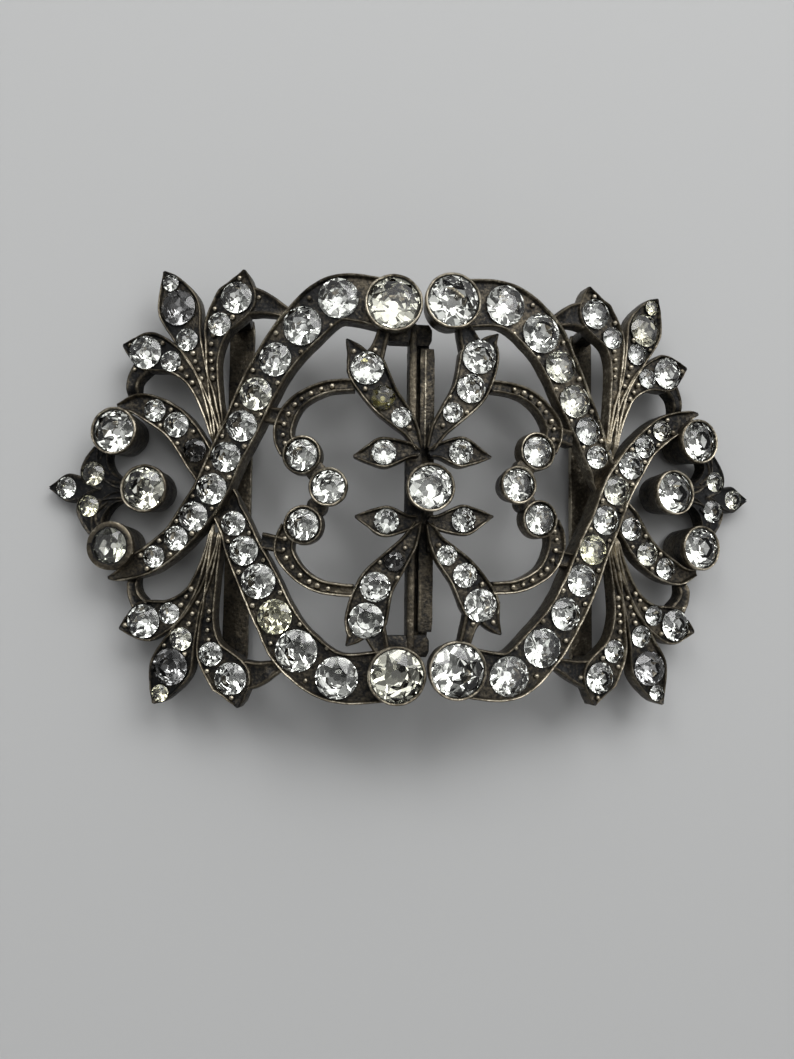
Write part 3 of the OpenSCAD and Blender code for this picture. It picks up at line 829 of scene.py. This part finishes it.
def metal_object(name, shell, turn=1):
    points, faces, wear = shell
    mesh = bpy.data.meshes.new(name)
    mesh.from_pydata([(turn * p.x * MM, turn * p.y * MM, p.z * MM) for p in points], [], faces)
    mesh.attributes.new("face_wear", "FLOAT", "FACE").data.foreach_set("value", wear)
    return placed(name, mesh)


def carved(name, first, *stages):
    """One solid from closed shells, through stages of an operation and its parts."""
    helpers = []
    for operation, parts in stages:
        for part in parts:
            step = first.modifiers.new(operation.lower(), "BOOLEAN")
            step.operation = operation
            step.solver = "MANIFOLD"
            step.object = part
            helpers.append(part)
    bpy.context.view_layer.update()
    solid = bpy.data.meshes.new_from_object(first.evaluated_get(bpy.context.evaluated_depsgraph_get()))
    for helper in helpers + [first]:
        bpy.data.objects.remove(helper)
    drop_slivers(solid)
    solid.name = name
    return placed(name, solid)


def drop_slivers(mesh):
    """Deletes the specks that a cut may leave beside the solid itself."""
    shape = bmesh.new()
    shape.from_mesh(mesh)
    left, islands = set(shape.verts), []
    while left:
        edge_on = [left.pop()]
        island = list(edge_on)
        while edge_on:
            for edge in edge_on.pop().link_edges:
                for v in edge.verts:
                    if v in left:
                        left.remove(v)
                        edge_on.append(v)
                        island.append(v)
        islands.append(island)
    islands.sort(key=len)
    for island in islands[:-1]:
        bmesh.ops.delete(shape, geom=island, context="VERTS")
    shape.to_mesh(mesh)
    shape.free()


def wear_on_points(mesh):
    """Spreads the faces' wear to their corners."""
    wear = np.zeros(len(mesh.polygons))
    mesh.attributes["face_wear"].data.foreach_get("value", wear)
    total = np.zeros(len(mesh.vertices))
    weight = np.zeros(len(mesh.vertices))
    for face in mesh.polygons:
        for v in face.vertices:
            total[v] += wear[face.index] * face.area
            weight[v] += face.area
    spread = mesh.attributes.new("wear", "FLOAT", "POINT")
    spread.data.foreach_set("value", total / np.maximum(weight, 1e-15))
    mesh.attributes.remove(mesh.attributes["face_wear"])


SOCKETS = {"value": "NodeSocketFloat", "colour": "NodeSocketColor"}


def effect(name, inputs, outputs):
    """An empty node group with its inputs and outputs, for an effect of several materials."""
    group = bpy.data.node_groups.new(name, "ShaderNodeTree")
    for label, kind in inputs:
        group.interface.new_socket(label, in_out="INPUT", socket_type=SOCKETS[kind])
    for label, kind in outputs:
        group.interface.new_socket(label, in_out="OUTPUT", socket_type=SOCKETS[kind])
    return group, group.nodes.new("NodeGroupInput"), group.nodes.new("NodeGroupOutput")


def group_in(tree, group, attribute, label):
    """A group placed in a material, with one input read from an attribute of the mesh."""
    use = tree.nodes.new("ShaderNodeGroup")
    use.node_tree = group
    reader = tree.nodes.new("ShaderNodeAttribute")
    reader.attribute_name = attribute
    tree.links.new(reader.outputs["Fac"], use.inputs[label])
    return use


def value_of(nodes, links, operation, a, b, clamp=False):
    """A Math node fed by sockets or numbers."""
    step = nodes.new("ShaderNodeMath")
    step.operation = operation
    step.use_clamp = clamp
    for socket, source in zip(step.inputs, (a, b)):
        if isinstance(source, (int, float)):
            socket.default_value = source
        else:
            links.new(source, socket)
    return step.outputs["Value"]


def ranged(nodes, links, source, low, high, to_low, to_high):
    step = nodes.new("ShaderNodeMapRange")
    step.interpolation_type = "SMOOTHSTEP"
    links.new(source, step.inputs["Value"])
    labels = ("From Min", "From Max", "To Min", "To Max")
    for label, number in zip(labels, (low, high, to_low, to_high)):
        step.inputs[label].default_value = number
    return step.outputs["Result"]


def grey_noise(nodes, links, coords, scale, detail):
    cloud = nodes.new("ShaderNodeTexNoise")
    cloud.inputs["Scale"].default_value = scale
    cloud.inputs["Detail"].default_value = detail
    cloud.inputs["Roughness"].default_value = 0.6
    links.new(coords, cloud.inputs["Vector"])
    return cloud.outputs["Fac"]


# Tarnish: black sulphide in the hollows, brown on the walls and worn silver on what is rubbed
tarnish, tarnish_in, tarnish_out = effect(
    "tarnish",
    [("Wear", "value"), ("Rubbing", "value"),
     ("Hollow", "colour"), ("Wall", "colour"), ("Worn", "colour")],
    [("Colour", "colour"), ("Roughness", "value"), ("Metallic", "value"), ("Height", "value")],
)
t_nodes, t_links = tarnish.nodes, tarnish.links
t_coords = t_nodes.new("ShaderNodeTexCoord").outputs["Object"]
t_noise = partial(grey_noise, t_nodes, t_links, t_coords)
t_value = partial(value_of, t_nodes, t_links)
t_ranged = partial(ranged, t_nodes, t_links)
wear_in = tarnish_in.outputs["Wear"]
broad = t_noise(150, 3)
cloud = t_noise(520, 5)
lumps = t_noise(1100, 2)
speckle = t_noise(2600, 4)
fine = t_noise(9000, 2)
patch = t_value("ADD", broad, cloud)
patch = t_value("SUBTRACT", patch, 1.0)
uneven = t_value("MULTIPLY", wear_in, 1.3)
patch = t_value("MULTIPLY", patch, t_value("ADD", uneven, 0.7))
grit = t_value("SUBTRACT", speckle, 0.5)
grit = t_value("MULTIPLY", grit, 1.15)
rubbed = t_value("MULTIPLY", wear_in, tarnish_in.outputs["Rubbing"])
rubbed = t_value("MINIMUM", rubbed, 1.0)
rubbed = t_value("ADD", rubbed, t_value("ADD", patch, grit))
wall_mask = t_ranged(rubbed, -0.08, 0.56, 0, 1)
worn_mask = t_ranged(rubbed, 0.5, 1.05, 0, 1)
t_colour = mixed(t_nodes, t_links, wall_mask, tarnish_in.outputs["Hollow"], tarnish_in.outputs["Wall"])
t_colour = mixed(t_nodes, t_links, worn_mask, t_colour, tarnish_in.outputs["Worn"])
t_links.new(t_colour, tarnish_out.inputs["Colour"])
rough = t_ranged(rubbed, 0.0, 1.0, 0.42, 0.26)
rough = t_value("ADD", rough, t_value("MULTIPLY", fine, 0.15))
t_links.new(rough, tarnish_out.inputs["Roughness"])
t_links.new(t_ranged(rubbed, 0.0, 0.5, 0.85, 1.0), tarnish_out.inputs["Metallic"])
relief = t_value("ADD", speckle, t_value("MULTIPLY", fine, 0.4))
relief = t_value("ADD", relief, t_value("MULTIPLY", lumps, 2.2))
t_links.new(relief, tarnish_out.inputs["Height"])


def silver(name, hollow, wall, worn, rubbing):
    """Tarnished silver, whose rubbing is a strength for the wear that its shapes carry."""
    material, shader = new_finish(name)
    nodes, links = material.node_tree.nodes, material.node_tree.links
    use = group_in(material.node_tree, tarnish, "wear", "Wear")
    use.inputs["Hollow"].default_value = (*hollow, 1)
    use.inputs["Wall"].default_value = (*wall, 1)
    use.inputs["Worn"].default_value = (*worn, 1)
    use.inputs["Rubbing"].default_value = rubbing
    links.new(use.outputs["Colour"], shader.inputs["Base Color"])
    links.new(use.outputs["Roughness"], shader.inputs["Roughness"])
    links.new(use.outputs["Metallic"], shader.inputs["Metallic"])
    bump = nodes.new("ShaderNodeBump")
    bump.inputs["Strength"].default_value = 0.7
    bump.inputs["Distance"].default_value = 0.09 * MM
    links.new(use.outputs["Height"], bump.inputs["Height"])
    links.new(bump.outputs["Normal"], shader.inputs["Normal"])
    return material


tones = {
    "hollow": (0.0138, 0.0140, 0.0146),
    "wall": (0.118, 0.101, 0.074),
    "worn": (0.46, 0.415, 0.325),
}
dark_silver = silver("dark silver", **tones, rubbing=1.05)
rubbed_silver = silver("rubbed silver", **tones, rubbing=1.25)

# The saw parts the leaf roots at the seam, and the file levels the backs that the clasp rests on
saw_low = (-seam / 2, -16, -5)
saw_high = (10, 16, 20)
file_low = (-60, -60, -20)
file_high = (60, 60, 0)
sharp_angle = math.radians(38)
for side, turn, fittings, metal in (
    ("left", 1, hook_shells, dark_silver),
    ("right", -1, catch_shells, rubbed_silver),
):
    first = metal_object("first", shells[0], turn)
    added = [metal_object("part", shell, turn) for shell in shells[1:]]
    seam_saw = metal_object("saw", block(saw_low, saw_high), turn)
    fitted = [metal_object("fitting", shell) for shell in fittings]
    seats = [metal_object("seat", joined(seat(*stone) for stone in left_stones), turn)]
    if side == "left":
        seats.append(metal_object("seat", seat(*stones_of("centre_stone")[0])))
    flat_file = metal_object("file", block(file_low, file_high))
    half = carved(
        f"{side}_half_silver",
        first,
        ("UNION", added),
        ("DIFFERENCE", [seam_saw]),
        ("UNION", fitted),
        ("DIFFERENCE", seats + [flat_file]),
    )
    wear_on_points(half.data)
    half.data.shade_smooth()
    half.data.set_sharp_from_angle(angle=sharp_angle)
    half.data.materials.clear()
    half.data.materials.append(metal)
    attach(half, "root")
    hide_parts(f"{side}_half")

# Paste stones. Each is lead glass cut by hand in the old way: a flat table, eight stars, eight
# kites and sixteen girdle facets above, eight broad and sixteen short facets below. A metal
# foil behind the stone throws the light back through its top.
table_share = 0.54
crown_share = 0.15
girdle_share = 0.03


def old_cut(width, seed):
    """Points, faces and materials (0 glass, 1 foil) of a stone about its own axis."""
    rng = random.Random(seed)
    r = width / 2
    table_r = r * table_share * rng.uniform(0.94, 1.06)
    table_h = crown_share * width
    edge = girdle_share * width / 2
    star = rng.uniform(0.42, 0.6)
    culet_r = 0.19 * r * rng.uniform(0.8, 1.15)
    deep_r = r * rng.uniform(0.74, 0.86)
    culet_h = -pavilion_share * width
    spin = rng.uniform(0, math.tau)
    step = math.tau / 8

    def at(radius, turns, h):
        a = spin + turns * step
        return Vector((radius * math.cos(a), radius * math.sin(a), h))

    def on_plane(a, b, c, radius, turns):
        """A point at a radius and angle on the plane through three points."""
        normal = (b - a).cross(c - a)
        p = at(radius, turns, 0)
        p.z = a.z - (normal.x * (p.x - a.x) + normal.y * (p.y - a.y)) / normal.z
        return p

    points, faces, kinds = [], [], []

    def face(corners, kind):
        faces.append(tuple(range(len(points), len(points) + len(corners))))
        points.extend(corners)
        kinds.append(kind)

    cos_half = math.cos(step / 2)
    table = [at(table_r, i, table_h) for i in range(8)]
    rim = [at(r, i, edge) for i in range(8)]
    culet = [at(culet_r, i + 0.5, culet_h) for i in range(8)]
    star_x = table_r + star * (r - table_r)
    star_h = table_h + (edge - table_h) * star
    stars = [at(star_x / cos_half, i + 0.5, star_h) for i in range(8)]
    mid_rim = [at(r, i + 0.5, edge) for i in range(8)]
    low_rim = [at(r, i, -edge) for i in range(8)]
    mid_low = [at(r, i + 0.5, -edge) for i in range(8)]
    slope = (-edge - culet_h) / (r - culet_r * cos_half)
    deep_h = culet_h + slope * (deep_r - culet_r) * cos_half
    deeps = [at(deep_r, i + 0.5, deep_h) for i in range(8)]
    face(table, 0)
    for i in range(8):
        j = (i + 1) % 8
        face([table[i], stars[i], table[j]], 0)
        face([table[i], stars[i - 1], rim[i], stars[i]], 0)
        ups = [
            on_plane(stars[i], rim[i], mid_rim[i], r, i + 0.25),
            on_plane(stars[i], mid_rim[i], rim[j], r, i + 0.75),
        ]
        downs = [
            on_plane(deeps[i], low_rim[i], mid_low[i], r, i + 0.25),
            on_plane(deeps[i], mid_low[i], low_rim[j], r, i + 0.75),
        ]
        face([stars[i], rim[i], ups[0], mid_rim[i]], 0)
        face([stars[i], mid_rim[i], ups[1], rim[j]], 0)
        around_up = [rim[i], ups[0], mid_rim[i], ups[1], rim[j]]
        around_low = [low_rim[i], downs[0], mid_low[i], downs[1], low_rim[j]]
        for a, b, c, d in zip(around_low, around_low[1:], around_up[1:], around_up):
            face([a, b, c, d], 0)
        face([deeps[i], mid_low[i], downs[0], low_rim[i]], 1)
        face([deeps[i], low_rim[j], downs[1], mid_low[i]], 1)
        face([culet[i - 1], culet[i], deeps[i], low_rim[i], deeps[i - 1]], 1)
    face(culet[::-1], 1)
    return points, faces, kinds


def welded(name, parts):
    """A mesh object from parts of points, faces and kinds, with corners that meet made one."""
    spots, faces, kinds, shades = {}, [], [], []
    for points, part_faces, part_kinds, shade in parts:
        for face, kind in zip(part_faces, part_kinds):
            corners = [tuple(round(c, 5) for c in points[i]) for i in face]
            faces.append([spots.setdefault(corner, len(spots)) for corner in corners])
            kinds.append(kind)
            shades.append(shade)
    mesh = bpy.data.meshes.new(name)
    mesh.from_pydata([tuple(c * MM for c in spot) for spot in spots], [], faces)
    mesh.polygons.foreach_set("material_index", kinds)
    mesh.attributes.new("shade", "FLOAT", "FACE").data.foreach_set("value", shades)
    return placed(name, mesh)


def paste(name, colour):
    """Clear lead glass with a faint tint."""
    material, shader = new_finish(name)
    shader.inputs["Base Color"].default_value = (*colour, 1)
    shader.inputs["Roughness"].default_value = 0.02
    shader.inputs["IOR"].default_value = 1.6
    shader.inputs["Transmission Weight"].default_value = 1
    return material


# Ageing foil: each stone's own shade and some stains lie between the bright and the dull colour
ageing, ageing_in, ageing_out = effect(
    "ageing foil",
    [("Shade", "value"), ("Bright", "colour"), ("Dull", "colour")],
    [("Colour", "colour")],
)
a_nodes, a_links = ageing.nodes, ageing.links
stain = grey_noise(a_nodes, a_links, a_nodes.new("ShaderNodeTexCoord").outputs["Object"], 700, 3)
stain = ranged(a_nodes, a_links, stain, 0.45, 0.75, 0, 0.5)
amount = value_of(a_nodes, a_links, "ADD", ageing_in.outputs["Shade"], stain, clamp=True)
a_colour = mixed(a_nodes, a_links, amount, ageing_in.outputs["Bright"], ageing_in.outputs["Dull"])
a_links.new(a_colour, ageing_out.inputs["Colour"])


def foil(name, bright, dull, rough):
    """Metal foil behind a stone, between a bright and a dull colour."""
    material, shader = new_finish(name)
    use = group_in(material.node_tree, ageing, "shade", "Shade")
    use.inputs["Bright"].default_value = (*bright, 1)
    use.inputs["Dull"].default_value = (*dull, 1)
    material.node_tree.links.new(use.outputs["Colour"], shader.inputs["Base Color"])
    shader.inputs["Metallic"].default_value = 1
    shader.inputs["Roughness"].default_value = rough
    return material


TINTS = {
    "clear": [paste("clear paste", (0.975, 0.985, 0.965)),
              foil("bright foil", (0.97, 0.975, 0.955), (0.31, 0.32, 0.32), 0.03)],
    "warm": [paste("warm paste", (0.98, 0.98, 0.955)),
             foil("warm foil", (0.95, 0.95, 0.89), (0.28, 0.28, 0.25), 0.03)],
    "yellow": [paste("yellowed paste", (0.98, 0.98, 0.92)),
               foil("yellowed foil", (0.95, 0.94, 0.83), (0.45, 0.44, 0.35), 0.05)],
    "smoky": [paste("smoky paste", (0.90, 0.90, 0.90)),
              foil("dulled foil", (0.55, 0.55, 0.55), (0.05, 0.05, 0.05), 0.02)],
    "olive": [paste("olive paste", (0.90, 0.88, 0.72)),
              foil("olive foil", (0.30, 0.285, 0.17), (0.05, 0.045, 0.03), 0.03)],
    "dead": [paste("dead paste", (0.88, 0.88, 0.87)),
             foil("dead foil", (0.16, 0.155, 0.15), (0.03, 0.03, 0.03), 0.05)],
    "greyed": [paste("greyed paste", (0.96, 0.955, 0.91)),
               foil("greyed foil", (0.68, 0.67, 0.60), (0.20, 0.195, 0.17), 0.06)],
    # The milky foil's dull colour is nearly its bright one: the stone's own pale look, with painted
    # light lifting it out of the wide lip's shade
    "milky": [paste("milky paste", (0.96, 0.97, 0.93)),
              foil("milky foil with painted light", (0.98, 0.985, 0.93), (0.92, 0.93, 0.87), 0.12)],
}
tint_reach = 1.2
# Where the tinted stones lie in the plan, x and y
TINTED = {
    (-3.9, 21.4): "warm", (-3.05, -22.0): "warm", (-36.4, -7.4): "milky", (-32.6, -0.55): "warm",
    (-27.2, 4.2): "dead", (-5.0, 10.5): "olive", (-3.4, -8.9): "dead", (-29.6, 21.7): "smoky",
    (-29.3, -21.6): "smoky", (-30.5, -24.6): "yellow", (-28.1, -18.2): "warm", (-39.6, 1.45): "greyed",
    (-40.0, -2.5): "yellow", (-17.2, -15.5): "yellow", (30.5, 24.6): "yellow", (29.4, 21.6): "greyed",
    (29.7, -21.7): "smoky", (21.5, -7.0): "yellow", (17.2, 15.5): "warm", (19.2, 11.4): "warm",
    (-19.9, 10.8): "warm", (24.9, 0.5): "warm", (31.6, 8.6): "warm", (29.5, -7.3): "warm",
    (40.0, 2.5): "warm", (42.9, 0.25): "warm",
}


def tint_of(middle):
    """The tint of the stone at a spot, clear unless the plan names another near it."""
    for (x, y), tint in TINTED.items():
        spot = bent(x, y, 0)
        if math.hypot(spot.x - middle.x, spot.y - middle.y) < tint_reach:
            return tint
    return "clear"


def set_stone(middle, axis, width, seed, tints, painted_light_lift=0):
    """A stone in its place, with materials counted from its tint's place in the piece's tints.
    A lift takes the stains off its foil: painted light that brightens the stone."""
    rng = random.Random(seed)
    lean = Matrix.Rotation(rng.gauss(0, 0.025), 4, "X") @ Matrix.Rotation(rng.gauss(0, 0.025), 4, "Y")
    points, faces, kinds = old_cut(width, seed)
    where = square_to(middle, axis) @ lean
    first = 2 * tints.index(tint_of(middle))
    # Less the lift, which is painted light, this is the foil's own dullness at random
    shade = max(0, rng.gauss(0.05, 0.12)) - painted_light_lift
    return [where @ p for p in points], faces, [first + kind for kind in kinds], shade


def tinted(piece, tints):
    """Gives a piece the glass and foil of each of its tints."""
    for tint in tints:
        for material in TINTS[tint]:
            piece.data.materials.append(material)
    return piece


def finish_stones(piece, node):
    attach(piece, "root")
    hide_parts(node)


fields = [name for name in stone_nodes if name.endswith("_stones")]
for number, node in enumerate(sorted(set(stone_nodes) - set(fields))):
    middle, axis, width = stones_of(node)[0]
    tints = [tint_of(middle)]
    # The collets' stones, whose names end in no number, get the lift: painted light that brightens
    # their foil
    painted_light_lift = 0 if node[-1].isdigit() else 0.6
    stone = set_stone(middle, axis, width, number, tints, painted_light_lift)
    piece = welded(node.replace("stone", "paste"), [stone])
    finish_stones(tinted(piece, tints), node)

# Small stones. Those of one leaf or ornament lie on a common bed of foil and solder below the
# floor, which joins them into one body.
bed_r = 0.17
field_seed = 500
# Each bed is one or more bars, with rows of x, y and the height of the bar's middle line
BEDS = {
    "tail": [[(-31.6, -8.6, -0.75), (-29.0, -6.4, -0.75), (-27.0, -3.8, -0.75), (-25.6, -1.8, -1.5),
              (-24.9, 0.0, -1.7), (-25.8, 2.0, -1.2), (-27.2, 4.2, -0.75), (-29.5, 7.3, -0.75),
              (-32.2, 9.1, -0.75)]],
    "upper_spray": [[(x, y, -0.68) for x, y, w in rows[:-1]] for rows in UPPER_LEAVES],
    "lower_spray": [[(x, y, -0.68) for x, y, w in rows[:-1]] for rows in LOWER_LEAVES],
    "fleur": [[(-39.6, 1.45, -0.68), (-39.7, -0.5, -0.68), (-40.0, -2.5, -0.68)],
              [(-39.7, -0.5, -0.68), (-42.9, -0.25, -0.68)]],
    "upper_leaf": [[(x, y, -0.68) for x, y, w in rows[:4]] for rows in (BIG_LEAVES[0], SMALL_LEAVES[0])]
    + [[(-5.0, 10.5, -0.68), (-6.9, 13.7, -0.68)], [(-0.7, 4.4, -0.68), (-0.6, 3.9, -0.68)]],
    "lower_leaf": [[(x, y, -0.68) for x, y, w in rows[:4]] for rows in (BIG_LEAVES[1], SMALL_LEAVES[1])]
    + [[(-5.6, -11.9, -0.68), (-6.6, -15.7, -0.68)], [(-0.7, -4.4, -0.68), (-0.6, -3.9, -0.68)]],
    "scroll_end": [[(-14.4, 3.5, -0.9), (-12.75, 1.55, -1.0), (-11.1, -0.4, -1.1), (-12.6, -2.6, -1.0),
                    (-14.1, -4.75, -0.9)]],
}


def bed(rows, turn):
    """A thin bar of solder and foil along a row of stones."""
    path = smooth_path(rows)
    path = path[np.linspace(0, len(path) - 1, max(2, len(path) // 3)).round().astype(int)]
    rings = []
    for i, (x, y, h) in enumerate(path):
        a, b = path[max(0, i - 1)], path[min(len(path) - 1, i + 1)]
        dx, dy = (b - a)[:2] / math.hypot(*(b - a)[:2])
        ring = []
        for k in range(6):
            u, v = bed_r * math.cos(math.tau * k / 6), bed_r * math.sin(math.tau * k / 6)
            p = bent(x - u * dy, y + u * dx, h - v)
            ring.append(Vector((turn * p.x, turn * p.y, p.z)))
        rings.append(ring)
    points, faces, wear = swept(rings, [0] * 6)
    return points, faces, [1] * len(faces), 0.5


for number, node in enumerate(sorted(fields)):
    side, kind = node.split("_", 1)
    turn = 1 if side == "left" else -1
    stones = stones_of(node)
    tints = ["clear"] + sorted({tint_of(stone[0]) for stone in stones} - {"clear"})
    parts = [[set_stone(*stone, field_seed + 20 * number + i, tints)] for i, stone in enumerate(stones)]
    parts += [[bed(rows, turn)] for rows in BEDS[kind.removesuffix("_stones")]]
    loose = [tinted(welded("stone", part), tints) for part in parts]
    piece = carved(node.replace("stones", "paste"), loose[-1], ("UNION", loose[:-1]))
    finish_stones(piece, node)
